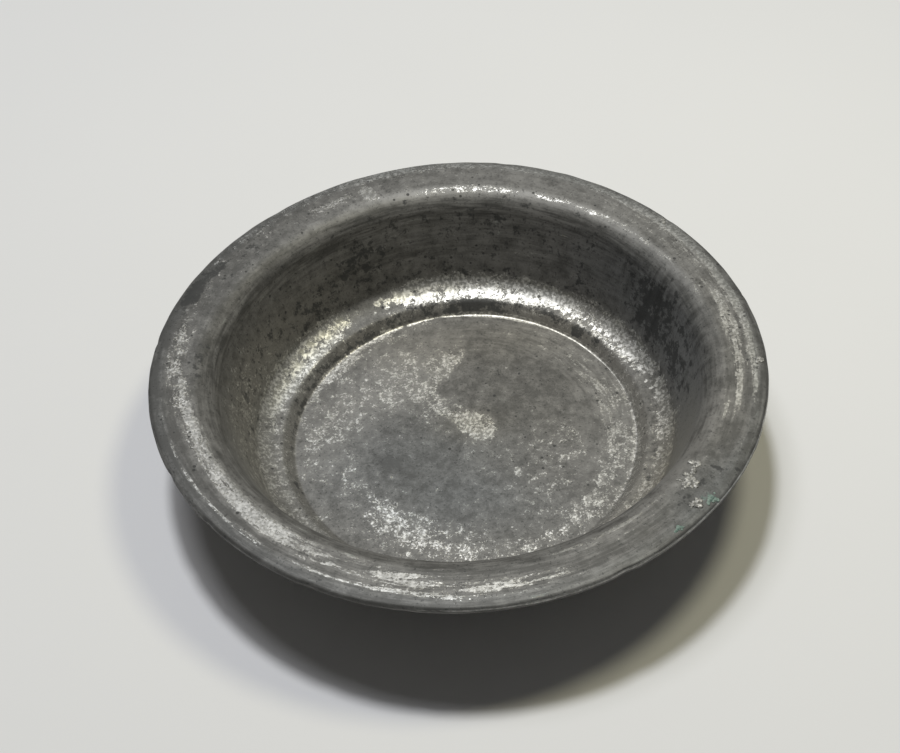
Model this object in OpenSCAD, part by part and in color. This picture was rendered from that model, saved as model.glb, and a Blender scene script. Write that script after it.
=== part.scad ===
// Shaving bowl: one raised copper sheet, hot-tinned inside and out.
// The section is one chain of straights and arcs that the inner face follows
// from the middle of the floor to the edge. Every deeper face is the same chain
// moved outwards by a thickness, so the lining, the copper and the outer tin
// share their faces exactly.
// Millimetres, +Z up, origin at the middle of the face that the bowl rests on.

/* [Bowl] */
// Diameter over the brim
brim_d = 280; // [250:1:320]
// Height from the table to the top of the brim
bowl_h = 56; // [46:0.5:72]

/* [Sheet] */
// Thickness of the copper sheet
sheet_t = 1.1; // [0.9:0.1:1.3]
// Thickness of the tin on each side
tin_t = 0.2; // [0.15:0.05:0.2]

/* [Foot] */
// Radius of the small hollow where the floor meets the foot
foot_hollow_r = 2; // [1.5:0.5:3]
// Slope of the foot's side above the floor, in degrees
foot_slope = 48; // [42:1:55]
// Length of the foot's side along its slope
foot_side_l = 5.4; // [4:0.1:7]
// Radius over the foot's top corner
foot_corner_r = 3.2; // [2.5:0.1:5]

/* [Well] */
// Slope of the narrow ledge above the foot, in degrees
ledge_slope = 12; // [8:1:16]
// Length of the ledge before it starts to curve up
ledge_l = 1.5; // [0.5:0.5:4]
// Radius of the wide cove that leaves the ledge
cove_r = 16; // [12:1:20]
// Slope at which the wide cove gives way to the wall's tight root, in degrees
cove_end_slope = 45; // [35:1:50]
// Radius of the wall's root
wall_root_r = 5; // [4:0.5:8]
// Slope of the wall above level, in degrees
wall_slope = 71; // [66:1:76]

/* [Brim] */
// Radius of the roll from the wall onto the brim
roll_r = 12; // [8:0.5:14]
// Upward slope of the brim's flat, in degrees
brim_rise = 1; // [0.5:0.5:4]
// Length of the brim's flat between the roll and the sagging margin
brim_flat_l = 11; // [6:0.5:16]
// Radius of the sagging margin
margin_r = 22; // [15:1:30]
// Downward slope at the end of the margin, in degrees
margin_fall = 13; // [8:1:20]
// Radius over the turned-down edge
edge_r = 1.9; // [1.8:0.1:2.2]
// Slope at the end of the turned-down edge below level, in degrees
edge_fall = 82; // [70:1:85]
// Straight length at the end of the turned-down edge
edge_l = 0.6; // [0.4:0.1:1.5]

/* [Fineness] */
// Longest turn of an arc of the section in one step, in degrees
arc_step = 5; // [3:1:8]
// Facets round the bowl in previews
round_facets = 180; // [60:12:360]

/* [Hidden] */
$fn = round_facets;
copper_colour = "#8a5a3c";
lining_colour = "#8c8d8b";
outer_tin_colour = "#77787a";

// Depths of the faces below the inner face
tin_face = tin_t;
sheet_face = tin_t + sheet_t;
outer_face = 2 * tin_t + sheet_t;

// A move is [length, radius, turn]; a positive turn goes uphill
function straight(length) = [length, 0, 0];
function arc(radius, turn) = [0, radius, turn];

// Step of one move along the face at a depth, from the slope before it
function arc_step_to(radius, slope, turn) =
    radius * [sin(slope + turn) - sin(slope), cos(slope) - cos(slope + turn)];
function move_step(move, slope, depth) = move[1] == 0
    ? move[0] * [cos(slope), sin(slope)]
    : arc_step_to(sign(move[2]) * move[1] + depth, slope, move[2]);

// Whole step and whole turn of a run of moves
function travel(moves, slope = 0, depth = 0, i = 0) = i == len(moves)
    ? [0, 0]
    : move_step(moves[i], slope, depth) + travel(moves, slope + moves[i][2], depth, i + 1);
function turned(moves, i = 0) = i == len(moves) ? 0 : moves[i][2] + turned(moves, i + 1);

// Points of the face at a depth, along the moves from a start point
function points_of_move(move, start, slope, depth) =
    let (steps = max(1, ceil(abs(move[2]) / arc_step)))
    [for (k = [1 : steps])
        start + (move[1] == 0
            ? move_step(move, slope, depth)
            : arc_step_to(sign(move[2]) * move[1] + depth, slope, move[2] * k / steps))];
function face_from(moves, start, slope, depth, i = 0) = i == len(moves)
    ? []
    : concat(
        points_of_move(moves[i], start, slope, depth),
        face_from(moves, start + move_step(moves[i], slope, depth),
            slope + moves[i][2], depth, i + 1));
function reversed(list) = [for (i = [len(list) - 1 : -1 : 0]) list[i]];

// The parts of the chain, in order from the floor to the edge
foot_hollow = [arc(foot_hollow_r, foot_slope)];
foot_rest = [straight(foot_side_l), arc(foot_corner_r, ledge_slope - foot_slope)];
cove = [
    straight(ledge_l),
    arc(cove_r, cove_end_slope - ledge_slope),
    arc(wall_root_r, wall_slope - cove_end_slope)];
roll_and_flat = [arc(roll_r, brim_rise - wall_slope), straight(brim_flat_l)];
crest = [arc(margin_r, -brim_rise)];
margin_and_edge = [
    arc(margin_r, -margin_fall),
    arc(edge_r, margin_fall - edge_fall),
    straight(edge_l)];
tin_cap = [straight(tin_t)];

// The wall takes up the height and the floor takes up the width
floor_z = sheet_face;
below_wall = concat(foot_hollow, foot_rest, cove);
above_wall = concat(roll_and_flat, crest);
wall_climb = bowl_h - floor_z - travel(below_wall)[1] - travel(above_wall, wall_slope)[1];
wall = [straight(wall_climb / sin(wall_slope))];
beyond_floor = concat(below_wall, wall, above_wall, margin_and_edge);
floor_r = brim_d / 2 - travel(concat(beyond_floor, tin_cap))[0];
whole_chain = concat([straight(floor_r)], beyond_floor);

// One whole face, from the axis to the edge
function face(depth) =
    let (middle = [0, floor_z - depth])
    concat([middle], face_from(whole_chain, middle, 0, depth));

// The outer tin starts above the foot's worn corner
worn_chain = concat([straight(floor_r)], foot_hollow);
tinned_chain = concat(foot_rest, cove, wall, above_wall, margin_and_edge);
function outer_part(depth) =
    let (start = [0, floor_z - depth] + travel(worn_chain, 0, depth))
    concat([start], face_from(tinned_chain, start, foot_slope, depth));
edge_end = face(0)[len(face(0)) - 1];
outer_end = face(outer_face)[len(face(outer_face)) - 1];
cap_step = travel(tin_cap, turned(whole_chain));

// The sheet itself: floor, foot, well, brim and turned-down edge in one piece
module copper_shell() {
    color(copper_colour)
        rotate_extrude()
            polygon(concat(face(tin_face), reversed(face(sheet_face))));
}

// Tin wiped over the whole inside and the top of the brim
module tin_lining() {
    color(lining_colour)
        rotate_extrude()
            polygon(concat(face(0), reversed(face(tin_face))));
}

// Tin on the outside, round the edge and down to the foot's worn corner
module outer_tinning() {
    color(outer_tin_colour)
        rotate_extrude()
            polygon(concat(
                outer_part(outer_face),
                [outer_end + cap_step, edge_end + cap_step, edge_end],
                reversed(outer_part(sheet_face))));
}

copper_shell();
tin_lining();
outer_tinning();
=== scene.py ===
"""Old tinned-copper shaving bowl: the hand-worked sheet, its tin, its wear and its studio."""

import logging
import math
from dataclasses import dataclass, field
from enum import Enum

import bmesh
import bpy
import numpy as np
from mathutils import Matrix, Vector

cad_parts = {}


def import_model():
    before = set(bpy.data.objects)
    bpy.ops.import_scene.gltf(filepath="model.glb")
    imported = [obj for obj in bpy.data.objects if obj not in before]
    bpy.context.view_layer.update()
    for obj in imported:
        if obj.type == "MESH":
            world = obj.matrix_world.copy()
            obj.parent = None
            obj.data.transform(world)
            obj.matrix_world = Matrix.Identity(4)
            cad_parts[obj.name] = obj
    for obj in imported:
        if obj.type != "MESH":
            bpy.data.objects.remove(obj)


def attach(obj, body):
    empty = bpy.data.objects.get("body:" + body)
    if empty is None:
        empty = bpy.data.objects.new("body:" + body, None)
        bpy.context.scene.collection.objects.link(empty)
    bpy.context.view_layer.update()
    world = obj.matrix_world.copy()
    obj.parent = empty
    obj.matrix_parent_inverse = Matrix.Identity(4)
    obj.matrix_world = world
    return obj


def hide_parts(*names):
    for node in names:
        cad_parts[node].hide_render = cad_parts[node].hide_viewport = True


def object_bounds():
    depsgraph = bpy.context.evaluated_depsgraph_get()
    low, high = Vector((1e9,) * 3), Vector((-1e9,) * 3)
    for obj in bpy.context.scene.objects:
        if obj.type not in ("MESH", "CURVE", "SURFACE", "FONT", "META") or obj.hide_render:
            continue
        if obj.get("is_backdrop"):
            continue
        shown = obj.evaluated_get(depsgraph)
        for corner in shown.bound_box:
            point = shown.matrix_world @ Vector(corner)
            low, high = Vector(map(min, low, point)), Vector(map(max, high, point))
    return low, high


MM = 0.001
BODY = "root"
LOG = logging.getLogger("shaving_bowl")
# How many millimetres of length a degree of bending counts for when rows are shared out.
BEND_WEIGHT = 0.12
# Rows of the face that points are looked up on.
FINE_ROWS = 600
# 2 gives round patches and more gives boxier ones.
BOXINESS = 2.4
# How far smooth noise reaches to either side of zero.
NOISE_REACH = 2.0
# Runs closer than this, in millimetres, count as the same.
SAME_RUN = 1e-6

Array = np.ndarray
Colour = tuple[float, float, float]


# ---------------------------------------------------------------- the section of the sheet


@dataclass(frozen=True)
class Move:
    """One straight or arc of the section, as a smith would walk it outwards from the floor."""

    length: float = 0.0
    radius: float = 0.0
    turn: float = 0.0

    def span(self, depth: float) -> float:
        """Measures the move along a face.

        Args:
            depth: How far the face lies below the inner face, in millimetres.

        Returns:
            The length, in millimetres.
        """
        if self.radius == 0.0:
            return self.length
        return abs(self.signed_radius(depth) * math.radians(self.turn))

    def signed_radius(self, depth: float) -> float:
        """Returns the arc's radius at a depth, positive where the face turns uphill."""
        return math.copysign(self.radius, self.turn) + depth

    def step(self, slope: float, depth: float, share: float = 1.0) -> Array:
        """Finds how far the face has moved after a share of the move.

        Args:
            slope: The face's slope before the move, in degrees.
            depth: How far the face lies below the inner face, in millimetres.
            share: How much of the move is done, from 0 to 1.

        Returns:
            The outward and upward distances, in millimetres.
        """
        start = math.radians(slope)
        if self.radius == 0.0:
            return share * self.length * np.array([math.cos(start), math.sin(start)])
        end = math.radians(slope + share * self.turn)
        across = np.array([math.sin(end) - math.sin(start), math.cos(start) - math.cos(end)])
        return self.signed_radius(depth) * across


@dataclass(frozen=True)
class Face:
    """Points of one face of the sheet, from the axis to the edge."""

    radius: Array
    height: Array
    run: Array
    slope: Array


@dataclass(frozen=True)
class Section:
    """The bowl's section in millimetres and degrees, floor and wall taking up what is left."""

    brim_radius: float
    bowl_height: float
    tin: float = 0.2
    sheet: float = 1.1
    foot_hollow: float = 2.0
    foot_slope: float = 48.0
    foot_side: float = 5.4
    foot_corner: float = 3.2
    ledge_slope: float = 12.0
    ledge: float = 1.5
    cove: float = 16.0
    cove_end_slope: float = 45.0
    wall_root: float = 5.0
    wall_slope: float = 71.0
    roll: float = 12.0
    brim_rise: float = 1.0
    brim_flat: float = 11.0
    margin: float = 22.0
    margin_fall: float = 13.0
    edge: float = 1.9
    edge_fall: float = 82.0
    edge_end: float = 0.6

    @property
    def floor_height(self) -> float:
        """Height of the inner floor above the table."""
        return self.tin + self.sheet

    def below_wall(self) -> list[Move]:
        """Chains up the foot, the ledge and the cove.

        Returns:
            The moves in order.
        """
        return [
            Move(radius=self.foot_hollow, turn=self.foot_slope),
            Move(length=self.foot_side),
            Move(radius=self.foot_corner, turn=self.ledge_slope - self.foot_slope),
            Move(length=self.ledge),
            Move(radius=self.cove, turn=self.cove_end_slope - self.ledge_slope),
            Move(radius=self.wall_root, turn=self.wall_slope - self.cove_end_slope),
        ]

    def above_wall(self) -> list[Move]:
        """Chains up the roll and the brim up to its crest.

        Returns:
            The moves in order.
        """
        return [
            Move(radius=self.roll, turn=self.brim_rise - self.wall_slope),
            Move(length=self.brim_flat),
            Move(radius=self.margin, turn=-self.brim_rise),
        ]

    def edge_moves(self) -> list[Move]:
        """Chains up the sagging margin and the turned-down edge.

        Returns:
            The moves in order.
        """
        return [
            Move(radius=self.margin, turn=-self.margin_fall),
            Move(radius=self.edge, turn=self.margin_fall - self.edge_fall),
            Move(length=self.edge_end),
        ]

    def moves(self) -> list[Move]:
        """Works out the floor and wall lengths and returns the whole chain.

        Returns:
            Every move from the middle of the floor to the edge.
        """
        below = self.below_wall()
        above = self.above_wall()
        climb = self.bowl_height - self.floor_height
        climb -= travel(below)[1] + travel(above, self.wall_slope)[1]
        wall = Move(length=climb / math.sin(math.radians(self.wall_slope)))
        beyond_floor = below + [wall] + above + self.edge_moves()
        cap = [Move(length=self.tin)]
        floor = Move(length=self.brim_radius - travel(beyond_floor + cap)[0])
        return [floor] + beyond_floor

    def face(self, depth: float, rows: int) -> Face:
        """Samples one face of the sheet, rows shared out by length and by bending.

        Args:
            depth: How far the face lies below the inner face, in millimetres.
            rows: About how many rows the face gets.

        Returns:
            The face's radius, height, inner-face run and slope, row by row.
        """
        moves = self.moves()
        weights = [move.span(0.0) + BEND_WEIGHT * abs(move.turn) for move in moves]
        place = np.array([0.0, self.floor_height - depth])
        points, runs, slopes = [place], [0.0], [0.0]
        slope, run = 0.0, 0.0
        for move, weight in zip(moves, weights):
            steps = max(1, round(rows * weight / sum(weights)))
            for k in range(1, steps + 1):
                share = k / steps
                points.append(place + move.step(slope, depth, share))
                runs.append(run + share * move.span(0.0))
                slopes.append(slope + share * move.turn)
            place = place + move.step(slope, depth)
            run += move.span(0.0)
            slope += move.turn
        line = np.array(points)
        return Face(line[:, 0], line[:, 1], np.array(runs), np.array(slopes))

    def run_to(self, count: int) -> float:
        """Returns the inner-face run at the end of the first moves."""
        return sum(move.span(0.0) for move in self.moves()[:count])


def travel(moves: list[Move], slope: float = 0.0) -> Array:
    """Adds up a chain of moves on the inner face.

    Args:
        moves: The moves in order.
        slope: The slope before the first move, in degrees.

    Returns:
        The whole outward and upward distance, in millimetres.
    """
    total = np.zeros(2)
    for move in moves:
        total += move.step(slope, 0.0)
        slope += move.turn
    return total


# ---------------------------------------------------------------- what the hand did to the sheet


class SmoothNoise:
    """Seamless noise made of many waves with seeded directions and starts."""

    def __init__(self, seed: int, wavelength: float, waves: int = 40) -> None:
        """Draws the waves.

        Args:
            seed: Seed of the draw.
            wavelength: Typical distance between bumps, in millimetres.
            waves: How many waves are added up.
        """
        draw = np.random.default_rng(seed)
        heading = draw.normal(size=(waves, 3))
        heading /= np.linalg.norm(heading, axis=1, keepdims=True)
        pitch = wavelength * draw.uniform(0.75, 1.5, waves)
        self.vectors = heading * (2.0 * math.pi / pitch)[:, None]
        self.starts = draw.uniform(0.0, 2.0 * math.pi, waves)

    def at(self, points: Array) -> Array:
        """Adds up the waves.

        Args:
            points: The points, in millimetres.

        Returns:
            The noise at each point, mostly within NOISE_REACH of zero.
        """
        total = np.zeros(len(points))
        for vector, start in zip(self.vectors, self.starts):
            total += np.cos(points @ vector + start)
        return total * math.sqrt(2.0 / len(self.starts))


def smooth_step(low: float, high: float, value: Array) -> Array:
    """Returns 0 below low, 1 above high and a smooth rise between them."""
    t = np.clip((value - low) / (high - low), 0.0, 1.0)
    return t * t * (3.0 - 2.0 * t)


def angle_between(azimuth: Array, centre: float) -> Array:
    """Returns the signed angle in degrees from a centre azimuth, within half a turn."""
    return (azimuth - centre + 180.0) % 360.0 - 180.0


@dataclass(frozen=True)
class Wave:
    """A slow wave round the rim: how many lobes, how high and where a lobe stands."""

    lobes: int
    height: float
    azimuth: float

    def at(self, azimuth: Array) -> Array:
        """Returns the wave's height in millimetres at azimuths in degrees."""
        return self.height * np.cos(np.radians(self.lobes * (azimuth - self.azimuth)))


@dataclass(frozen=True)
class Nick:
    """A small dent in the turned-down edge."""

    azimuth: float
    half_width: float
    depth: float


@dataclass(frozen=True)
class HandWork:
    """Everything that keeps a hand-raised bowl from being a perfect turning.

    Heights, pitches and runs are in millimetres. A pitch is the usual distance between bumps.
    """

    section: Section
    floor_drift: tuple[float, float] = (1.1, -0.4)
    rim_drift: tuple[float, float] = (-0.9, 0.6)
    rim_out: tuple[Wave, ...] = (Wave(2, 0.9, -43.0), Wave(3, 0.55, -40.0), Wave(4, 0.45, -8.0))
    floor_out: tuple[Wave, ...] = (Wave(2, 0.8, 59.0),)
    rim_up: tuple[Wave, ...] = (Wave(2, 0.3, 20.0), Wave(3, 0.2, 75.0))
    seeds: tuple[int, int, int] = (11, 12, 13)
    planish: float = 0.05
    planish_pitch: float = 13.0
    planish_run: tuple[float, float] = (50.0, 95.0)
    floor_waver: float = 0.10
    waver_pitch: float = 34.0
    blister_height: float = 0.28
    blister_pitch: float = 4.5
    still_middle: float = 6.0
    round_middle: float = 20.0
    nick_reach: tuple[float, float] = (4.0, 1.0)
    nicks: tuple[Nick, ...] = (
        Nick(-63.5, 1.6, 0.5),
        Nick(-101.0, 0.9, 0.35),
        Nick(-118.0, 1.3, 0.4),
        Nick(-141.0, 0.8, 0.35),
        Nick(-21.0, 1.0, 0.3),
        Nick(12.0, 0.7, 0.3),
        Nick(38.0, 1.1, 0.45),
        Nick(77.0, 0.9, 0.3),
        Nick(128.0, 1.4, 0.35),
        Nick(171.0, 0.8, 0.4),
        Nick(205.0, 1.2, 0.45),
    )

    def displace(self, run: Array, azimuth: Array, blister: Array) -> Array:
        """Finds how far the work has moved each point of the sheet.

        Args:
            run: Run of each point along the inner face, in millimetres.
            azimuth: Azimuth of each point, in degrees.
            blister: How strongly the surface is blistered there, from 0 to 1.

        Returns:
            The outward, sideways-x, sideways-y and upward moves, one row per point.
        """
        face = self.section.face(0.0, FINE_ROWS)
        radius = np.interp(run, face.run, face.radius)
        height = np.interp(run, face.run, face.height)
        slope = np.radians(np.interp(run, face.run, face.slope))
        angle = np.radians(azimuth)
        points = np.stack([radius * np.cos(angle), radius * np.sin(angle), height], axis=1)
        foot_end, wall_start, wall_end = (self.section.run_to(n) for n in (4, 7, 8))
        edge = face.run[-1]
        rise = smooth_step(wall_start, edge, run)
        on_floor = 1.0 - smooth_step(foot_end, wall_start, run)
        brim = smooth_step(wall_end, edge, run)
        outward = rise * sum(wave.at(azimuth) for wave in self.rim_out)
        floor_waves = sum(wave.at(azimuth) for wave in self.floor_out)
        outward += on_floor * smooth_step(self.round_middle, foot_end, run) * floor_waves
        far, near_edge = self.nick_reach
        for nick in self.nicks:
            near = np.exp(-((angle_between(azimuth, nick.azimuth) / nick.half_width) ** 2))
            outward -= nick.depth * near * smooth_step(edge - far, edge - near_edge, run)
        upward = brim * sum(wave.at(azimuth) for wave in self.rim_up)
        hammer = self.unevenness(points, run, on_floor, blister)
        outward -= hammer * np.sin(slope)
        upward += hammer * np.cos(slope)
        share = smooth_step(foot_end, edge, run)
        drift_x = self.floor_drift[0] * (1.0 - share) + self.rim_drift[0] * share
        drift_y = self.floor_drift[1] * (1.0 - share) + self.rim_drift[1] * share
        return np.stack([outward, drift_x, drift_y, upward], axis=1)

    def unevenness(self, points: Array, run: Array, on_floor: Array, blister: Array) -> Array:
        """Finds how far the face stands proud where it was hammered, wavers or has blistered.

        Args:
            points: The points before the work, in millimetres.
            run: Run of each point, in millimetres.
            on_floor: 1 for a point on the floor, falling to 0 at the wall.
            blister: How strongly the surface is blistered there, from 0 to 1.

        Returns:
            The height over the smooth face, never less than nothing.
        """
        pitches = (self.planish_pitch, self.waver_pitch, self.blister_pitch)
        dents, waver, lifted = (
            SmoothNoise(seed, pitch).at(points) for seed, pitch in zip(self.seeds, pitches)
        )
        proud = np.maximum(dents + NOISE_REACH, 0.0) * self.planish
        proud *= smooth_step(*self.planish_run, run)
        proud += np.maximum(waver + NOISE_REACH, 0.0) * self.floor_waver * on_floor
        proud += np.maximum(lifted, 0.0) * self.blister_height * blister
        return proud * smooth_step(0.0, self.still_middle, run)


# ---------------------------------------------------------------- where the tin has aged, and where light and shade are painted on it


class Tone(Enum):
    """What a patch does to the tin: wear, and in places painted highlight, shade and lamp tint."""

    BRIGHT = "bright"
    STAIN_AND_SHADE = "stain_and_shade"
    WARM = "warm"
    COOL = "cool"
    GREEN = "green"
    RINGED = "ringed"
    PITTED = "pitted"
    DRIPPED = "dripped"
    PALE = "pale"
    RUBBED_AND_HIGHLIGHT = "rubbed"
    BLISTER = "blister"
    SHADE = "shade"


@dataclass(frozen=True)
class RingPatch:
    """A patch placed by azimuth in degrees and by run along the face in millimetres."""

    tone: Tone
    amount: float
    azimuth: float
    half_angle: float
    run: float
    half_run: float
    soft: float = 0.6
    lean: float = 0.0

    def at(self, run: Array, azimuth: Array) -> Array:
        """Returns the patch's amount at each point.

        Args:
            run: Run of each point, in millimetres.
            azimuth: Azimuth of each point, in degrees.

        Returns:
            The amount, fading out over the patch's soft border.
        """
        turn = angle_between(azimuth, self.azimuth)
        across = (run - self.run - self.lean * turn) / self.half_run
        around = turn / self.half_angle if self.half_angle < 180.0 else np.zeros_like(turn)
        reach = (np.abs(across) ** BOXINESS + np.abs(around) ** BOXINESS) ** (1.0 / BOXINESS)
        return self.amount * (1.0 - smooth_step(1.0 - self.soft, 1.0 + self.soft, reach))


@dataclass(frozen=True)
class FloorPatch:
    """A patch on the floor placed by its middle, its two half sizes and its turn."""

    tone: Tone
    amount: float
    x: float
    y: float
    half_long: float
    half_wide: float
    turn: float = 0.0
    soft: float = 0.6

    def at(self, run: Array, azimuth: Array) -> Array:
        """Returns the patch's amount at each point.

        Args:
            run: Run of each point, in millimetres.
            azimuth: Azimuth of each point, in degrees.

        Returns:
            The amount, fading out over the patch's soft border.
        """
        angle, turn = np.radians(azimuth), math.radians(self.turn)
        dx, dy = run * np.cos(angle) - self.x, run * np.sin(angle) - self.y
        along = (dx * math.cos(turn) + dy * math.sin(turn)) / self.half_long
        across = (dy * math.cos(turn) - dx * math.sin(turn)) / self.half_wide
        reach = np.hypot(along, across)
        return self.amount * (1.0 - smooth_step(1.0 - self.soft, 1.0 + self.soft, reach))


Patch = RingPatch | FloorPatch


@dataclass(frozen=True)
class WearAndLightMap:
    """The patches of wear and of painted light, over a base amount of each tone."""

    patches: tuple[Patch, ...]
    base: dict[Tone, float] = field(default_factory=dict)

    def field_of(self, tone: Tone, run: Array, azimuth: Array) -> Array:
        """Adds up one tone over the base and all its patches.

        Args:
            tone: The tone to add up.
            run: Run of each point, in millimetres.
            azimuth: Azimuth of each point, in degrees.

        Returns:
            The tone at each point.
        """
        total = np.full(len(run), self.base.get(tone, 0.0))
        for patch in self.patches:
            if patch.tone is tone:
                total += patch.at(run, azimuth)
        return total


def rings(tone: Tone, *marks: tuple[float, ...]) -> tuple[Patch, ...]:
    """Makes ring patches of one tone.

    Args:
        tone: What the patches do to the tin.
        marks: Each patch's amount, azimuth, half angle, run, half run, softness and lean.

    Returns:
        The patches.
    """
    return tuple(RingPatch(tone, *mark) for mark in marks)


def floor_spots(tone: Tone, *marks: tuple[float, ...]) -> tuple[Patch, ...]:
    """Makes floor patches of one tone.

    Args:
        tone: What the patches do to the tin.
        marks: Each patch's amount, x, y, half length, half width, turn and softness.

    Returns:
        The patches.
    """
    return tuple(FloorPatch(tone, *mark) for mark in marks)


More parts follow.
